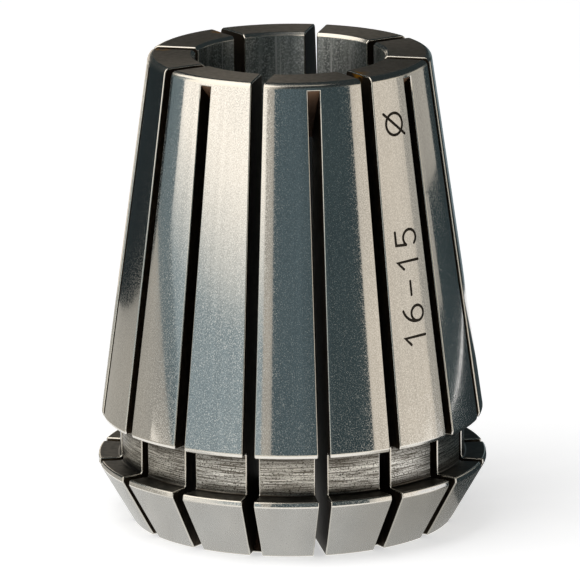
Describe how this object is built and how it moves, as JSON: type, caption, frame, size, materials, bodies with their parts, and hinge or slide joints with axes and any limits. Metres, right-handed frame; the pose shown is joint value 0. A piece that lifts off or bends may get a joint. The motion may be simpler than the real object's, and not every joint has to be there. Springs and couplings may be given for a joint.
{
  "type": "er collet",
  "caption": "Slotted spring collet: steel sleeve with a shallow outer cone, nut groove, chamfered flange and a cylindrical clamping bore.",
  "frame": {"origin": "centre of the front face, the one the clamping nut presses, on the collet's axis", "axes": "+Z along the collet's axis from the flange to the small end; -Y runs through one of the slots that open at the front face"},
  "size_m": [0.033, 0.033, 0.04],
  "materials": {
    "collet": "hardened spring steel, ground bright on the cones and in the bore, turned satin in the groove"
  },
  "bodies": {
    "root": {"collet": "collet"}
  },
  "joints": []
}
